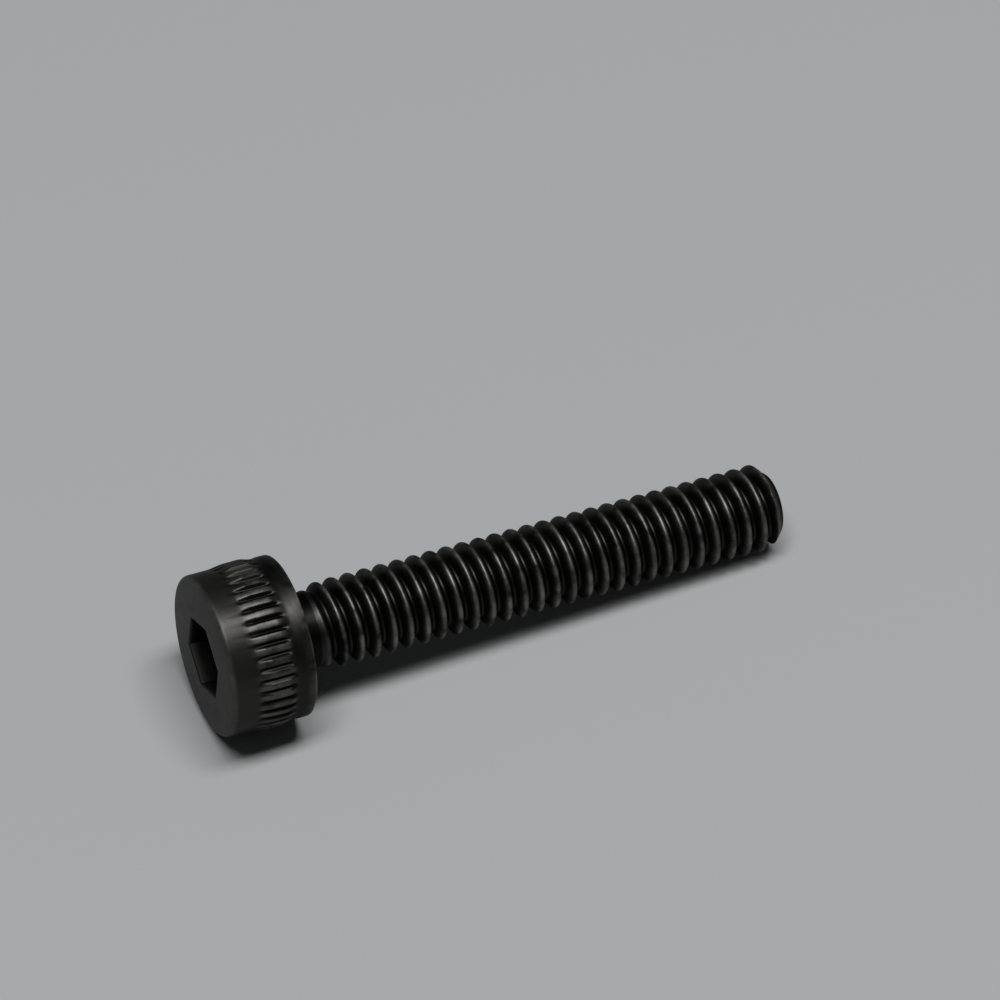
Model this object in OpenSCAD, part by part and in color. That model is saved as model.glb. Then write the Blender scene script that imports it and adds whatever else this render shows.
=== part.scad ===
// Hex socket cap screw, M2 x 0.4 x 12, black oxide, one solid piece.
// It is drawn upright, with s along its axis: s = 0 is the bearing face under the head,
// s grows towards the tip, and the turn angle is 0 on the side that faces up when it lies down.
// Then it is laid on the floor, where it rests on two ridges of the knurl and on the thread.

/* [Thread] */
// Nominal (major) diameter of the thread
thread_d = 2; // [1.8:0.1:2.2]
// Rise of the thread in one turn
pitch = 0.4; // [0.35:0.05:0.45]
// Length from the bearing face to the tip
length = 12; // [8:0.4:16]
// Plain neck between the bearing face and the start of the thread
neck_length = 0.5; // [0.3:0.05:0.8]
// Distance over which the first turn rises out of the neck
runout = 0.45; // [0.3:0.05:0.6]
// Where the crest crosses the upper side for the first time
first_crest = 0.55; // [0.4:0.01:0.8]
// Length of the 45 degree bevel at the tip
tip_bevel = 0.28; // [0.26:0.01:0.34]

/* [Head] */
// Diameter of the plain part of the head
head_d = 3.72; // [3.6:0.02:3.8]
// Height of the head
head_h = 2; // [1.8:0.05:2.2]
// Radius of the rounded edge round the face
face_edge = 0.14; // [0.1:0.01:0.18]
// Bevel round the bearing face
rim_bevel = 0.05; // [0.03:0.01:0.07]
// Radius of the fillet between neck and bearing face
neck_fillet = 0.15; // [0.14:0.01:0.18]

/* [Knurl] */
// Number of ridges round the head
ridges = 42; // [38:2:46]
// How far the ridges stand out of the plain head
ridge_rise = 0.05; // [0.05:0.005:0.06]
// How far the grooves are pressed into the plain head
groove_depth = 0.045; // [0.03:0.005:0.06]
// Flat left on top of each ridge
ridge_flat = 0.15; // [0.12:0.01:0.18]
// Plain band between the face and the knurl
face_band = 0.62; // [0.5:0.02:0.7]
// Plain band between the knurl and the bearing face
rim_band = 0.48; // [0.4:0.02:0.52]
// Length over which a ridge rises at each end
ridge_ramp = 0.08; // [0.06:0.01:0.1]

/* [Socket] */
// Hexagon across its flats
socket_flats = 1.58; // [1.5:0.01:1.6]
// Depth of the hexagon below the face
socket_depth = 1.1; // [1:0.05:1.2]
// Depth of the drill cone under the hexagon
cone_depth = 0.3; // [0.2:0.05:0.4]
// Bevel that breaks the edge of the mouth
mouth_bevel = 0.05; // [0.02:0.01:0.08]
// Turn of the hexagon away from corner up
socket_turn = 3.5; // [0:0.5:30]

/* [Hidden] */
$fn = 96;

// Thread section: 60 degree flanks, a crest flat of an eighth of the pitch and a deep root.
segments = 30;
thread_r = thread_d / 2;
thread_depth = 0.6134 * pitch;
root_r = thread_r - thread_depth;
neck_r = thread_r - 0.325 * pitch;
crest_flat = pitch / 8;
flank = thread_depth * tan(30);
tip_r = thread_r - tip_bevel;
section = [
    [-crest_flat / 2, thread_r],
    [crest_flat / 2, thread_r],
    [crest_flat / 2 + flank, root_r],
    [pitch - crest_flat / 2 - flank, root_r]
];
section_points = len(section);
lead_turns = ceil((first_crest - neck_length) / pitch) + 1;
turns = lead_turns + ceil((length - first_crest) / pitch) + 1;
columns = turns * segments;

// Rings below the thread, from inside the head over the fillet to the end of the neck.
shank_root = 0.3;
fillet_steps = 4;
neck_rings = concat(
    [[-shank_root, neck_r + neck_fillet]],
    [for (i = [0 : fillet_steps]) let (a = 90 * i / fillet_steps)
        [neck_fillet * (1 - cos(a)), neck_r + neck_fillet * (1 - sin(a))]],
    [[neck_length, neck_r]]
);
ring_count = len(neck_rings);

// Places in the list of points: thread, then neck rings, tip ring and the two cap centres.
neck_at = columns * section_points;
last_neck_at = neck_at + (ring_count - 1) * segments;
tip_at = neck_at + ring_count * segments;
root_centre = tip_at + segments;
tip_centre = root_centre + 1;

// Head sizes.
head_r = head_d / 2;
ridge_r = head_r + ridge_rise;
groove_r = head_r - groove_depth;
knurl_top = head_h - face_band;
groove_half = PI * ridge_r / ridges - ridge_flat / 2;
groove_slope = groove_half / (ridge_r - groove_r);
cutter_rise = 0.04;
socket_r = socket_flats / 2 / cos(30);
cone_r = 0.96 * socket_flats / 2;
overlap = 0.1;

// Rest: the inner edges of two ridges at the lower end of the knurl, with a groove between
// them, and the last whole crest under the tip.
rest_head_r = sqrt(pow(ridge_r, 2) - pow(groove_half, 2));
rest_head_s = rim_band + ridge_ramp;
lower_crest = first_crest + pitch / 2;
whole_turns = floor((length - tip_bevel - crest_flat / 2 - lower_crest) / pitch);
rest_tip_s = lower_crest + whole_turns * pitch + crest_flat / 2;
lie = atan((rest_head_r - thread_r) / (rest_head_s + rest_tip_s));
rest_height = rest_tip_s * sin(lie) + thread_r * cos(lie);
back_x = -head_h * cos(lie) - head_r * sin(lie);
front_x = length * cos(lie) + tip_r * sin(lie);

// The thread as a strip wound round the axis. Point i of column m is corner i of the section.
function s_of(m, i) = first_crest + pitch * (m / segments - lead_turns) + section[i][0];
function in_neck(m, i) = s_of(m, i) <= neck_length;
function past_tip(m, i) = s_of(m, i) >= length;

// The section swells out of the neck at one end and is cut by the bevel at the other.
function swell(s) = min(1, max(0, (s - neck_length) / runout));
function r_of(s, r) = min(neck_r + (r - neck_r) * swell(s), tip_r + length - s);
function at(m, s, r) = [r * cos(360 * m / segments), r * sin(360 * m / segments), s];

// Beyond either end a point falls onto the ring that closes that end.
function id(m, i) =
    i == section_points ? id(m + segments, 0) :
    in_neck(m, i) ? last_neck_at + m % segments :
    past_tip(m, i) ? tip_at + m % segments :
    m * section_points + i;

// A triangle that two ends of a side have fallen into one point is left out.
function kept(t) = t[0] != t[1] && t[1] != t[2] && t[2] != t[0];

thread_points = [for (m = [0 : columns - 1]) for (i = [0 : section_points - 1])
    let (s = s_of(m, i)) at(m, s, r_of(s, section[i][1]))];
neck_points = [for (ring = neck_rings) for (m = [0 : segments - 1]) at(m, ring[0], ring[1])];
tip_points = [for (m = [0 : segments - 1]) at(m, length, tip_r)];

thread_faces = [for (m = [0 : columns - segments - 2]) for (i = [0 : section_points - 1])
    for (t = [
        [id(m, i), id(m + 1, i), id(m, i + 1)],
        [id(m + 1, i), id(m + 1, i + 1), id(m, i + 1)]
    ])
    if (kept(t)) t];
neck_faces = [for (k = [0 : ring_count - 2]) for (m = [0 : segments - 1])
    let (
        a = neck_at + k * segments + m,
        b = neck_at + k * segments + (m + 1) % segments
    )
    for (t = [[a, b, a + segments], [b, b + segments, a + segments]]) t];
cap_faces = [for (m = [0 : segments - 1]) let (n = (m + 1) % segments)
    for (t = [[root_centre, neck_at + n, neck_at + m], [tip_centre, tip_at + m, tip_at + n]]) t];

// Neck, thread and bevelled tip in one right-hand helix.
module shank() {
    polyhedron(
        points = concat(thread_points, neck_points, tip_points, [[0, 0, -shank_root], [0, 0, length]]),
        faces = [for (t = concat(thread_faces, neck_faces, cap_faces)) [t[2], t[1], t[0]]],
        convexity = 20
    );
}

// Plain head: rounded edge at the face, small bevel round the bearing face.
module head_blank() {
    rotate_extrude() {
        polygon([
            [0, 0],
            [head_r - rim_bevel, 0],
            [head_r, -rim_bevel],
            [head_r, face_edge - head_h],
            [head_r - face_edge, face_edge - head_h],
            [head_r - face_edge, -head_h],
            [0, -head_h]
        ]);
        intersection() {
            translate([head_r - face_edge, face_edge - head_h]) circle(face_edge);
            translate([head_r - face_edge, -head_h]) square(face_edge);
        }
    }
}

// Raised band that the ridges are left from, with a ramp at each end.
module knurl_band() {
    rotate_extrude() polygon([
        [head_r - overlap, -rim_band],
        [head_r, -rim_band],
        [ridge_r, -rim_band - ridge_ramp],
        [ridge_r, -knurl_top + ridge_ramp],
        [head_r, -knurl_top],
        [head_r - overlap, -knurl_top]
    ]);
}

// One groove: a V with sloping ends, pressed in from outside.
module groove() {
    top_r = ridge_r + cutter_rise;
    half = groove_slope * (top_r - groove_r);
    top_from = -knurl_top - ridge_ramp;
    top_to = -rim_band + ridge_ramp;
    run = top_r - groove_r;
    polyhedron(
        points = [
            [top_r, -half, top_from],
            [top_r, half, top_from],
            [top_r, half, top_to],
            [top_r, -half, top_to],
            [groove_r, 0, top_from + run],
            [groove_r, 0, top_to - run]
        ],
        faces = [[0, 3, 2, 1], [0, 4, 5, 3], [1, 2, 5, 4], [0, 1, 4], [2, 3, 5]]
    );
}

// Hexagon with a broken edge at its mouth and a drill cone at its bottom.
module socket() {
    rotate([0, 0, socket_turn]) translate([0, 0, -head_h - overlap]) {
        cylinder(h = socket_depth + overlap, r = socket_r, $fn = 6);
        cylinder(h = mouth_bevel + overlap, r1 = socket_r + mouth_bevel + overlap, r2 = socket_r, $fn = 6);
    }
    translate([0, 0, socket_depth - head_h])
        rotate_extrude() polygon([[0, -overlap], [cone_r, -overlap], [cone_r, 0], [0, cone_depth]]);
}

module cap_screw_upright() {
    union() {
        difference() {
            union() {
                head_blank();
                knurl_band();
            }
            for (i = [0 : ridges - 1])
                rotate([0, 0, 360 * i / ridges]) groove();
            socket();
        }
        shank();
    }
}

// The whole screw, laid down with its head towards -X.
module cap_screw() {
    color([0.09, 0.09, 0.09])
        translate([-(back_x + front_x) / 2, 0, rest_height])
            rotate([0, lie, 0])
                rotate([180, 0, 0])
                    rotate([0, 90, 0])
                        cap_screw_upright();
}

cap_screw();
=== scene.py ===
"""Looks of the hex socket cap screw: one fine mesh with a black oxide finish, on a pale floor.

The screw is drawn in its own coordinates, in millimetres: s runs along its axis, from the
bearing face (0) to the tip, the head reaches back to -HEAD_H, and the turn angle is 0 on the
side that faces up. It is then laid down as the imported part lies.
"""
import math

import bpy
from mathutils import Matrix, Vector, noise


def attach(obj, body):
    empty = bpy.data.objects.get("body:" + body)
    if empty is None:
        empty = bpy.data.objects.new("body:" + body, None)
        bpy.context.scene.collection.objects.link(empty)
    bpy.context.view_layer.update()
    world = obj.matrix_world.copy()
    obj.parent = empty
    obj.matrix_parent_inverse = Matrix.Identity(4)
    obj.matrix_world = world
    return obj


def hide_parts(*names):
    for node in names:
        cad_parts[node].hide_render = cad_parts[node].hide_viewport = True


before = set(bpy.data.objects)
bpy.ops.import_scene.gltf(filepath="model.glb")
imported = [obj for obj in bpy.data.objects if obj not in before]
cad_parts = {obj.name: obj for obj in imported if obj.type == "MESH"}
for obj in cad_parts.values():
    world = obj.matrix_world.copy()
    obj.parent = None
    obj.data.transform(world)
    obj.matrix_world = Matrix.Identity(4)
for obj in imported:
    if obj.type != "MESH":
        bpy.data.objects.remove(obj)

MM = 0.001
TURN = 2 * math.pi
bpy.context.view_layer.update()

# Sizes of the part, in millimetres.
THREAD_R = 1.0
PITCH = 0.4
LENGTH = 12.0
NECK_LENGTH = 0.5
RUNOUT = 0.45
FIRST_CREST = 0.55
TIP_BEVEL = 0.28
HEAD_R = 1.86
HEAD_H = 2.0
FACE_EDGE = 0.14
RIM_BEVEL = 0.05
NECK_FILLET = 0.15
RIDGES = 42
RIDGE_RISE = 0.05
RIDGE_FLAT = 0.15
FACE_BAND = 0.62
RIM_BAND = 0.48
RIDGE_RAMP = 0.08
SOCKET_FLATS = 1.58
SOCKET_DEPTH = 1.1
SOCKET_TURN = math.radians(3.5)
CONE_DEPTH = 0.3
MOUTH_BEVEL = 0.05

# Rolled and handled forms that only the scene has, in millimetres: grooves as shallow as they
# look in the photo, ridges that blend into the plain head, with crowned and dented tops, and a
# faint hollow in the band by the rim.
GROOVE_DEPTH = 0.03
KNURL_BLEND = 0.05
GROOVE_END = 0.16
FACE_RAMP = 0.45
RIM_RAMP = 0.26
RAGGED = 0.03
RAGGED_STEP = 1.7
OFF_LATTICE = 0.3
RIDGE_CROWN = 0.008
EDGE_ROUND = 0.02
DENT_DEPTH = 0.012
DENT_SIZE = 0.22
HOLLOW_DEPTH = 0.012
RIM_SOFT = 0.015

# Shares: how far dents are stretched along the ridges, how much of the noise they take up, and
# how much of the band by the rim is hollow.
DENT_STRETCH = 0.6
DENT_LEVEL = 0.2
DENT_GAIN = 0.5
HOLLOW_SHARE = 0.48

# What follows from them. The thread's form is the standard's, in shares of the pitch.
CREST_FLAT = PITCH / 8
THREAD_DEPTH = 0.6134 * PITCH
ROOT_R = THREAD_R - THREAD_DEPTH
ROOT_ROUND = 0.144 * PITCH
NECK_R = THREAD_R - 0.325 * PITCH
TIP_R = THREAD_R - TIP_BEVEL
RIDGE_R = HEAD_R + RIDGE_RISE
RIDGE_SPACING = TURN * RIDGE_R / RIDGES
GROOVE_HALF = (RIDGE_SPACING - RIDGE_FLAT) / 2
KNURL_TOP = HEAD_H - FACE_BAND
CONE_R = 0.96 * SOCKET_FLATS / 2

# Wear of the coating and painted shade: 1 is rubbed to bright steel, 0 is sound, and values below 0
# are painted shade that darkens recesses, down to -1 in the socket and at the neck.
RECESS_SHADE = -1.0
ROOT_SHADE = -0.3
GROOVE_SHADE = 0.8
KNURL_WEAR = 0.54
FACE_EDGE_WEAR = 0.2
FLANK_WEAR = 0.04
RIM_WEAR = 0.9
TIP_WEAR = 0.05

# Share of the way down a groove at which its wall takes as much painted shade as its bottom.
GROOVE_SHADE_FROM = 1 / 3

# Painted light: how far the coating is made paler and less metallic on the head's side; it is 1 on the
# face and 0 on the shank.
SIDE_PAINTED_PALENESS = 0.4

# Finish. A noise scale is in waves for each metre.
PLAIN_COATING = (0.028, 0.0275, 0.0265, 1.0)
PAINTED_PALE_COATING = (0.056, 0.0555, 0.0535, 1.0)
RUBBED_STEEL = (0.22, 0.216, 0.206, 1.0)
TABLE_GREY = (0.40, 0.405, 0.41, 1.0)
ROOM_WHITE = (0.95, 0.97, 1.0, 1.0)
PATCH_SCALE = 2600.0
GRAIN_SCALE = 22000.0
GRAIN_HEIGHT = 0.004 * MM

# Lamp, in metres and watts, and camera, with its lens in millimetres.
LAMP_LENGTH = 0.4
LAMP_WIDTH = 0.12
LAMP_WATTS = 2.55
LAMP_PLACE = (0.0, -0.07, 0.5)
WORLD_STRENGTH = 0.05
CAMERA_AZIMUTH = math.radians(-113.5)
CAMERA_ELEVATION = math.radians(47.62)
CAMERA_DISTANCE = 125.77 * MM
CAMERA_AIM = Vector((1.73, 3.40, 0.0)) * MM
LENS = 194.3

# Edges steeper than this stay sharp in the shading.
SHARP_FROM = math.radians(32)

# Fineness of the mesh. A ridge runs from the middle of one groove, 0, to that of the next, 1.
THREAD_SEGMENTS = 96
SOCKET_SEGMENTS = 96
WALL_ROWS = 6
KNURL_ROWS = 26
ROW_CROWDING = 0.65
HOLLOW_ROWS = 4
EDGE_STEPS = 5
FILLET_STEPS = 6
RIDGE_PARTS = [0.0, 0.05, 0.1, 0.15, 0.2, 0.26, 0.36, 0.5, 0.64, 0.74, 0.8, 0.85, 0.9, 0.95]
RIDGE_ANGLES = [TURN * (k + p) / RIDGES for k in range(RIDGES) for p in RIDGE_PARTS]


# Helpers for forms.

def smooth(x):
    """Soft step from 0 to 1."""
    x = min(1.0, max(0.0, x))
    return x * x * (3 - 2 * x)


def grain(angle, s, r, size):
    """Smooth random value, about -1 to 1, at a place on the screw; size is in millimetres."""
    return noise.noise(Vector((r * math.cos(angle), r * math.sin(angle), s)) / size)


class Skin:
    """Points and faces of one closed mesh, in the screw's own coordinates."""

    def __init__(self):
        self.points = []
        self.wear_and_shade = []
        self.faces = []

    def point(self, angle, s, r, wear_and_shade):
        self.points.append((r * math.cos(angle), r * math.sin(angle), s))
        self.wear_and_shade.append(wear_and_shade)
        return len(self.points) - 1

    def ring(self, angles, shape):
        """A ring of points, where shape gives s, r and the wear value, which is painted shade below 0,
        at a turn angle.
        """
        return [self.point(a, *shape(a)) for a in angles]

    def join(self, first, second):
        """Fills the band between two rings, also when their numbers of points differ."""
        n, m = len(first), len(second)
        if n == m:
            for i in range(n):
                k = (i + 1) % n
                self.faces.append((first[i], first[k], second[k], second[i]))
            return
        i = j = 0
        while i < n or j < m:
            if j == m or (i < n and (i + 1) * m <= (j + 1) * n):
                self.faces.append((first[i % n], first[(i + 1) % n], second[j % m]))
                i += 1
            else:
                self.faces.append((first[i % n], second[(j + 1) % m], second[j % m]))
                j += 1

    def close(self, ring, s):
        """Closes a ring with a point on the axis."""
        centre = self.point(0.0, s, 0.0, self.wear_and_shade[ring[0]])
        for i, a in enumerate(ring):
            self.faces.append((a, ring[(i + 1) % len(ring)], centre))


# Socket and face.

def hexagon_r(angle, widen=0.0):
    """Distance from the axis to the hexagon's wall, or to one that stands further out."""
    across = (angle - SOCKET_TURN) % (TURN / 6) - TURN / 12
    return (SOCKET_FLATS / 2 + widen) / math.cos(across)


def add_socket(skin):
    """Drill cone, hexagon walls and bevelled mouth. Gives the ring round the mouth."""
    angles = [SOCKET_TURN + TURN * i / SOCKET_SEGMENTS for i in range(SOCKET_SEGMENTS)]
    floor_s = SOCKET_DEPTH - HEAD_H
    # Painted shade: the drill cone, the hexagon walls and the inside of the mouth are darkened.
    cone = skin.ring(angles, lambda a: (floor_s, CONE_R, RECESS_SHADE))
    skin.close(cone, floor_s + CONE_DEPTH)
    last = skin.ring(angles, lambda a: (floor_s, hexagon_r(a), RECESS_SHADE))
    skin.join(cone, last)
    wall = SOCKET_DEPTH - MOUTH_BEVEL
    for k in range(1, WALL_ROWS + 1):
        ring = skin.ring(angles, lambda a: (floor_s - wall * k / WALL_ROWS, hexagon_r(a), RECESS_SHADE))
        skin.join(last, ring)
        last = ring
    # The broken edge of the mouth: depth and width as shares of the bevel, and wear; the inner two
    # rows carry painted shade.
    for depth, widen, wear_and_shade in ((0.45, 0.2, RECESS_SHADE), (0.1, 0.85, RECESS_SHADE), (0.0, 1.0, 0.0)):
        ring = skin.ring(angles, lambda a: (
            depth * MOUTH_BEVEL - HEAD_H, hexagon_r(a, widen * MOUTH_BEVEL), wear_and_shade))
        skin.join(last, ring)
        last = ring
    return last


# Head with knurl.

def groove_share(part):
    """0 on top of a ridge, 1 in the middle of a groove; part runs from groove to groove."""
    from_middle = abs(part - 0.5) * RIDGE_SPACING
    return smooth((from_middle - RIDGE_FLAT / 2 + EDGE_ROUND) / (GROOVE_HALF + EDGE_ROUND))


def knurl_shape(angle, s):
    """Radius and wear of the knurled side at an angle and a place along the head, with painted shade
    in the grooves.
    """
    ridge = angle / TURN * RIDGES
    # Ridges start and end unevenly: each takes one value of the noise, away from its zeros.
    ragged = RAGGED * noise.noise(Vector((math.floor(ridge) * RAGGED_STEP, OFF_LATTICE, 0.0)))
    past_rim = -s - RIM_BAND + KNURL_BLEND + ragged
    past_face = KNURL_TOP + s + KNURL_BLEND + ragged
    lift = smooth(past_rim / RIM_RAMP) * smooth(past_face / FACE_RAMP)
    bite = smooth(past_rim / GROOVE_END) * smooth(past_face / GROOVE_END)
    down = groove_share(ridge % 1.0)
    dents = max(0.0, DENT_LEVEL + DENT_GAIN * grain(angle, s * DENT_STRETCH, HEAD_R, DENT_SIZE))
    crown = RIDGE_CROWN * (2 * (ridge % 1.0) - 1) ** 2
    top = lift * (RIDGE_RISE - crown - DENT_DEPTH * dents)
    r = HEAD_R + top * (1 - down) - bite * GROOVE_DEPTH * down
    # Painted shade on the groove walls and bottoms; the ridge tops carry wear.
    shade_share = min(1.0, down / GROOVE_SHADE_FROM)
    wear_and_shade = bite * (KNURL_WEAR * (1 - shade_share) - GROOVE_SHADE * shade_share)
    return r, wear_and_shade


def add_head_side(skin, mouth):
    """From the mouth's ring over the face, the knurled side and the bearing face to the neck."""
    last = mouth

    def row(s, r, wear_and_shade=0.0):
        nonlocal last
        ring = skin.ring(RIDGE_ANGLES, lambda a: (s, r, wear_and_shade))
        skin.join(last, ring)
        last = ring

    for k in range(EDGE_STEPS + 1):
        a = math.radians(90) * k / EDGE_STEPS
        back = FACE_EDGE * (1 - math.cos(a))
        inward = FACE_EDGE * (1 - math.sin(a))
        row(back - HEAD_H, HEAD_R - inward, FACE_EDGE_WEAR * math.sin(2 * a))
    knurl_length = KNURL_TOP - RIM_BAND
    row(-KNURL_TOP - 2 * KNURL_BLEND, HEAD_R)
    for k in range(KNURL_ROWS + 1):
        # Rows stand closer at the two ends, where the ridges rise.
        even = k / KNURL_ROWS
        crowded = 0.5 - 0.5 * math.cos(math.pi * even)
        s = -KNURL_TOP + knurl_length * (ROW_CROWDING * crowded + (1 - ROW_CROWDING) * even)
        ring = skin.ring(RIDGE_ANGLES, lambda a: (s, *knurl_shape(a, s)))
        skin.join(last, ring)
        last = ring
    # The hollow starts at the knurl.
    for k in range(1, HOLLOW_ROWS + 1):
        part = k / HOLLOW_ROWS
        row(-RIM_BAND * (1 - HOLLOW_SHARE * part), HEAD_R - HOLLOW_DEPTH * math.sin(math.pi * part))
    # The bevel, softened at its two edges: places along s and inwards, as shares of the bevel.
    row(-RIM_BEVEL - RIM_SOFT, HEAD_R, RIM_WEAR / 3)
    for back, inward in ((0.6, 0.15), (0.15, 0.6)):
        row(-RIM_BEVEL * back, HEAD_R - RIM_BEVEL * inward, RIM_WEAR)
    row(0.0, HEAD_R - RIM_BEVEL - RIM_SOFT, RIM_WEAR / 3)
    return last


# Neck and thread.

def thread_section():
    """One pitch of the thread, from the crest's middle: offset along s, radius and wear, with painted
    shade in the root.
    """
    # The rounded crest: offset as a share of the flat, drop in millimetres, and wear.
    crest = (
        (0.2, 0.0015, 1.0),
        (0.45, 0.006, 1.0),
        (0.7, 0.013, 0.9),
        (1.0, 0.030, 0.6),
        (1.5, 0.068, 0.25)
    )
    half = [(share * CREST_FLAT, THREAD_R - drop, wear_and_shade) for share, drop, wear_and_shade in crest]
    flank_foot = (PITCH / 2 - ROOT_ROUND * math.cos(math.radians(30)), ROOT_R + ROOT_ROUND / 2)
    top = half[-1]
    middle = ((top[0] + flank_foot[0]) / 2, (top[1] + flank_foot[1]) / 2, FLANK_WEAR)
    # The root carries painted shade.
    root = [
        (PITCH / 2 - ROOT_ROUND * math.sin(a), ROOT_R + ROOT_ROUND * (1 - math.cos(a)), ROOT_SHADE)
        for a in map(math.radians, (60, 40, 20))
    ]
    rising = half + [middle] + root
    falling = [(PITCH - s, r, wear_and_shade) for s, r, wear_and_shade in reversed(rising)]
    return [(0.0, THREAD_R, 1.0)] + rising + [(PITCH / 2, ROOT_R, ROOT_SHADE)] + falling


def swell(s):
    """How far the thread has risen out of the neck."""
    return min(1.0, max(0.0, (s - NECK_LENGTH) / RUNOUT))


def add_neck(skin, outer):
    """Bearing face, fillet and plain neck. Gives the ring that the thread starts from."""
    angles = [TURN * i / THREAD_SEGMENTS for i in range(THREAD_SEGMENTS)]
    last = outer
    # Painted shade: the fillet and the neck under the head are darkened.
    for k in range(FILLET_STEPS + 1):
        a = math.radians(90) * k / FILLET_STEPS
        s = NECK_FILLET * (1 - math.cos(a))
        r = NECK_R + NECK_FILLET * (1 - math.sin(a))
        ring = skin.ring(angles, lambda _: (s, r, RECESS_SHADE))
        skin.join(last, ring)
        last = ring
    end = skin.ring(angles, lambda _: (NECK_LENGTH, NECK_R, RECESS_SHADE))
    skin.join(last, end)
    return end


def add_thread(skin, neck_end):
    """Right-hand helix that swells out of the neck and is cut by the bevel at the tip."""
    section = thread_section()
    size = len(section)
    lead_turns = math.ceil((FIRST_CREST - NECK_LENGTH) / PITCH) + 1
    turns = lead_turns + math.ceil((LENGTH - FIRST_CREST) / PITCH) + 1
    columns = turns * THREAD_SEGMENTS
    tip_angles = [TURN * i / THREAD_SEGMENTS for i in range(THREAD_SEGMENTS)]
    tip = skin.ring(tip_angles, lambda _: (LENGTH, TIP_R, TIP_WEAR))
    known = {}

    def place(column, i):
        """The point of a column, or the point of the ring that closes that end."""
        column, i = column + i // size * THREAD_SEGMENTS, i % size
        offset, r, wear_and_shade = section[i]
        s = FIRST_CREST + PITCH * (column / THREAD_SEGMENTS - lead_turns) + offset
        if s <= NECK_LENGTH:
            return neck_end[column % THREAD_SEGMENTS]
        if s >= LENGTH:
            return tip[column % THREAD_SEGMENTS]
        if (column, i) not in known:
            r = NECK_R + (r - NECK_R) * swell(s)
            bevel_r = TIP_R + LENGTH - s
            angle = TURN * column / THREAD_SEGMENTS
            known[column, i] = skin.point(angle, s, min(r, bevel_r), wear_and_shade * swell(s))
        return known[column, i]

    for column in range(columns - THREAD_SEGMENTS - 1):
        for i in range(size):
            corners = [
                place(column, i),
                place(column + 1, i),
                place(column + 1, i + 1),
                place(column, i + 1)
            ]
            face = [c for n, c in enumerate(corners) if c != corners[n - 1]]
            if len(set(face)) >= 3:
                skin.faces.append(tuple(face))
    skin.close(tip, LENGTH)


# The screw, laid on the floor.

def lying():
    """Matrix from the screw's coordinates, in millimetres, to the frame, in metres."""
    rest_head_r = math.sqrt(RIDGE_R ** 2 - GROOVE_HALF ** 2)
    rest_head_s = RIM_BAND + RIDGE_RAMP
    lower_crest = FIRST_CREST + PITCH / 2
    whole_turns = math.floor((LENGTH - TIP_BEVEL - CREST_FLAT / 2 - lower_crest) / PITCH)
    rest_tip_s = lower_crest + whole_turns * PITCH + CREST_FLAT / 2
    lie = math.atan((rest_head_r - THREAD_R) / (rest_head_s + rest_tip_s))
    height = rest_tip_s * math.sin(lie) + THREAD_R * math.cos(lie)
    back_x = -HEAD_H * math.cos(lie) - HEAD_R * math.sin(lie)
    front_x = LENGTH * math.cos(lie) + TIP_R * math.sin(lie)
    return (
        Matrix.Scale(MM, 4)
        @ Matrix.Translation((-(back_x + front_x) / 2, 0.0, height))
        @ Matrix.Rotation(lie, 4, "Y")
        @ Matrix.Rotation(math.pi, 4, "X")
        @ Matrix.Rotation(math.pi / 2, 4, "Y")
    )


def painted_paleness(s):
    """How far the coating is painted paler and less metallic at a place along the screw, as painted
    light on the head.
    """
    at_face = smooth((FACE_EDGE - HEAD_H - s) / FACE_EDGE)
    return SIDE_PAINTED_PALENESS * smooth(-s / HEAD_H) + (1 - SIDE_PAINTED_PALENESS) * at_face


def make_screw():
    """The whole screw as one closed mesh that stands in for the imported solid."""
    skin = Skin()
    mouth = add_socket(skin)
    rim = add_head_side(skin, mouth)
    neck_end = add_neck(skin, rim)
    add_thread(skin, neck_end)
    lay = lying()
    mesh = bpy.data.meshes.new("screw_body")
    mesh.from_pydata([lay @ Vector(p) for p in skin.points], [], skin.faces)
    wear_and_shade = mesh.attributes.new("wear_and_shade", "FLOAT", "POINT")
    wear_and_shade.data.foreach_set("value", skin.wear_and_shade)
    paleness = mesh.attributes.new("paleness", "FLOAT", "POINT")
    paleness.data.foreach_set("value", [painted_paleness(s) for _, _, s in skin.points])
    mesh.shade_smooth()
    mesh.set_sharp_from_angle(angle=SHARP_FROM)
    mesh.validate()
    screw = bpy.data.objects.new("screw_body", mesh)
    bpy.context.collection.objects.link(screw)
    mesh.materials.append(black_oxide())
    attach(screw, "root")
    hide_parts("cap_screw")


# Materials.

def node(tree, kind, **inputs):
    """Adds a node and sets its unlinked inputs by name."""
    made = tree.nodes.new(kind)
    for name, value in inputs.items():
        made.inputs[name.replace("_", " ")].default_value = value
    return made


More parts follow.
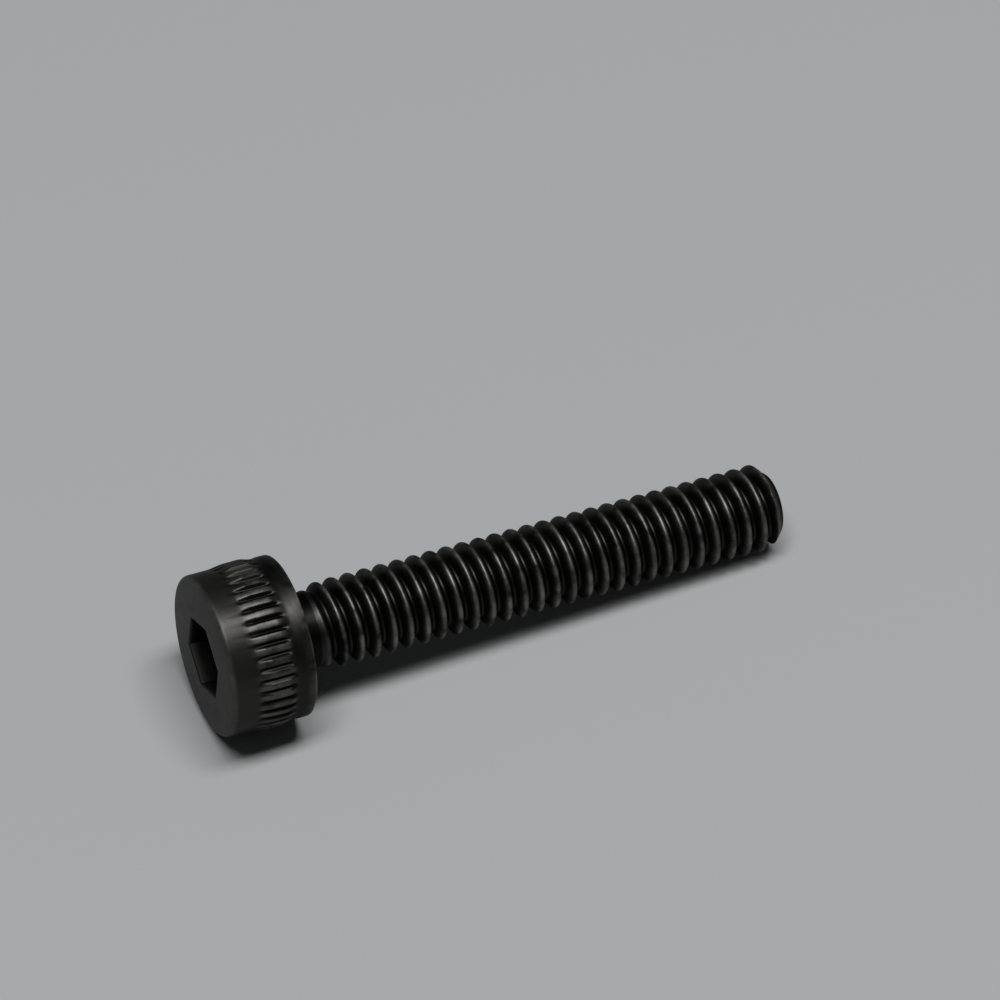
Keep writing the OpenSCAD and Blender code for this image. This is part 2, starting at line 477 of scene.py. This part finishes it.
def black_oxide():
    """Black oxide: dark and metallic on the shank, painted paler and less metallic on the head, bright
    where it is rubbed, with painted shade in recesses.
    """
    material = bpy.data.materials.new("black_oxide_steel")
    material.use_nodes = True
    tree = material.node_tree
    link = tree.links.new
    shader = tree.nodes["Principled BSDF"]
    shader.inputs["IOR"].default_value = 1.2
    shader.inputs["Specular Tint"].default_value = (0.5, 0.5, 0.5, 1.0)
    where = tree.nodes.new("ShaderNodeTexCoord")

    patches = node(tree, "ShaderNodeTexNoise", Scale=PATCH_SCALE, Detail=5.0, Roughness=0.6)
    link(where.outputs["Object"], patches.inputs["Vector"])
    fine = node(tree, "ShaderNodeTexNoise", Scale=GRAIN_SCALE, Detail=3.0, Roughness=0.55)
    link(where.outputs["Object"], fine.inputs["Vector"])

    worn_and_shaded = tree.nodes.new("ShaderNodeAttribute")
    worn_and_shaded.attribute_name = "wear_and_shade"
    spread = node(tree, "ShaderNodeMapRange", From_Min=0.34, From_Max=0.66, To_Min=0.0, To_Max=1.0)
    link(patches.outputs["Fac"], spread.inputs["Value"])
    rubbed = tree.nodes.new("ShaderNodeMath")
    rubbed.operation = "MULTIPLY"
    link(worn_and_shaded.outputs["Fac"], rubbed.inputs[0])
    link(spread.outputs["Result"], rubbed.inputs[1])

    # Painted light: the face and the head's side get a paler, less metallic coating.
    paleness = tree.nodes.new("ShaderNodeAttribute")
    paleness.attribute_name = "paleness"
    metal = node(tree, "ShaderNodeMapRange", From_Min=0.0, From_Max=1.0, To_Min=1.0, To_Max=0.5)
    link(paleness.outputs["Fac"], metal.inputs["Value"])
    link(metal.outputs["Result"], shader.inputs["Metallic"])

    coating = tree.nodes.new("ShaderNodeMix")
    coating.data_type = "RGBA"
    coating.inputs["A"].default_value = PLAIN_COATING
    coating.inputs["B"].default_value = PAINTED_PALE_COATING
    link(paleness.outputs["Fac"], coating.inputs["Factor"])
    colour = tree.nodes.new("ShaderNodeMix")
    colour.data_type = "RGBA"
    colour.inputs["B"].default_value = RUBBED_STEEL
    link(coating.outputs["Result"], colour.inputs["A"])
    link(rubbed.outputs["Value"], colour.inputs["Factor"])
    # Painted shade: wear values below 0 darken the colour, down to 0.35 of it at -1.
    shade = node(tree, "ShaderNodeMapRange", From_Min=-1.0, From_Max=0.0, To_Min=0.35, To_Max=1.0)
    link(worn_and_shaded.outputs["Fac"], shade.inputs["Value"])
    shaded = tree.nodes.new("ShaderNodeMix")
    shaded.data_type = "RGBA"
    shaded.blend_type = "MULTIPLY"
    shaded.inputs["Factor"].default_value = 1.0
    link(colour.outputs["Result"], shaded.inputs["A"])
    link(shade.outputs["Result"], shaded.inputs["B"])
    link(shaded.outputs["Result"], shader.inputs["Base Color"])

    matt = node(tree, "ShaderNodeMapRange", From_Min=0.3, From_Max=0.7, To_Min=0.36, To_Max=0.46)
    link(patches.outputs["Fac"], matt.inputs["Value"])
    scuffed = node(tree, "ShaderNodeMapRange", From_Min=0.0, From_Max=1.0, To_Min=0.0, To_Max=0.1)
    link(worn_and_shaded.outputs["Fac"], scuffed.inputs["Value"])
    rough = tree.nodes.new("ShaderNodeMath")
    rough.operation = "ADD"
    link(matt.outputs["Result"], rough.inputs[0])
    link(scuffed.outputs["Result"], rough.inputs[1])
    link(rough.outputs["Value"], shader.inputs["Roughness"])

    bump = node(tree, "ShaderNodeBump", Strength=0.25, Distance=GRAIN_HEIGHT)
    link(fine.outputs["Fac"], bump.inputs["Height"])
    link(bump.outputs["Normal"], shader.inputs["Normal"])
    return material


def table_top():
    """Plain pale grey surface."""
    material = bpy.data.materials.new("floor")
    material.use_nodes = True
    tree = material.node_tree
    shader = tree.nodes["Principled BSDF"]
    shader.inputs["Base Color"].default_value = TABLE_GREY
    shader.inputs["Roughness"].default_value = 0.6
    return material


# Floor, light and camera.

def make_floor():
    """A flat floor under the screw."""
    half = 0.6
    mesh = bpy.data.meshes.new("floor")
    corners = [(-half, -half, 0.0), (half, -half, 0.0), (half, half, 0.0), (-half, half, 0.0)]
    mesh.from_pydata(corners, [], [(0, 1, 2, 3)])
    mesh.materials.append(table_top())
    floor = bpy.data.objects.new("floor", mesh)
    bpy.context.collection.objects.link(floor)


def make_light():
    """One long soft lamp above the screw, level with its axis, and a weak pale world."""
    lamp = bpy.data.lights.new("overhead", "AREA")
    lamp.shape = "RECTANGLE"
    lamp.size = LAMP_LENGTH
    lamp.size_y = LAMP_WIDTH
    lamp.energy = LAMP_WATTS
    overhead = bpy.data.objects.new("overhead", lamp)
    overhead.location = LAMP_PLACE
    bpy.context.collection.objects.link(overhead)
    world = bpy.data.worlds.new("room")
    world.use_nodes = True
    background = world.node_tree.nodes["Background"]
    background.inputs["Color"].default_value = ROOM_WHITE
    background.inputs["Strength"].default_value = WORLD_STRENGTH
    bpy.context.scene.world = world


def make_camera():
    """A long lens from the front left, as in the photograph."""
    level = math.cos(CAMERA_ELEVATION)
    back = Vector((
        math.cos(CAMERA_AZIMUTH) * level,
        math.sin(CAMERA_AZIMUTH) * level,
        math.sin(CAMERA_ELEVATION)
    ))
    data = bpy.data.cameras.new("camera")
    data.sensor_width = 36.0
    data.lens = LENS
    data.clip_start = 0.005
    data.clip_end = 5.0
    camera = bpy.data.objects.new("camera", data)
    camera.location = CAMERA_AIM + back * CAMERA_DISTANCE
    camera.rotation_mode = "QUATERNION"
    camera.rotation_quaternion = (-back).to_track_quat("-Z", "Y")
    bpy.context.collection.objects.link(camera)
    bpy.context.scene.camera = camera


make_camera()
make_screw()
make_floor()
make_light()
bpy.context.scene.view_settings.view_transform = "Standard"
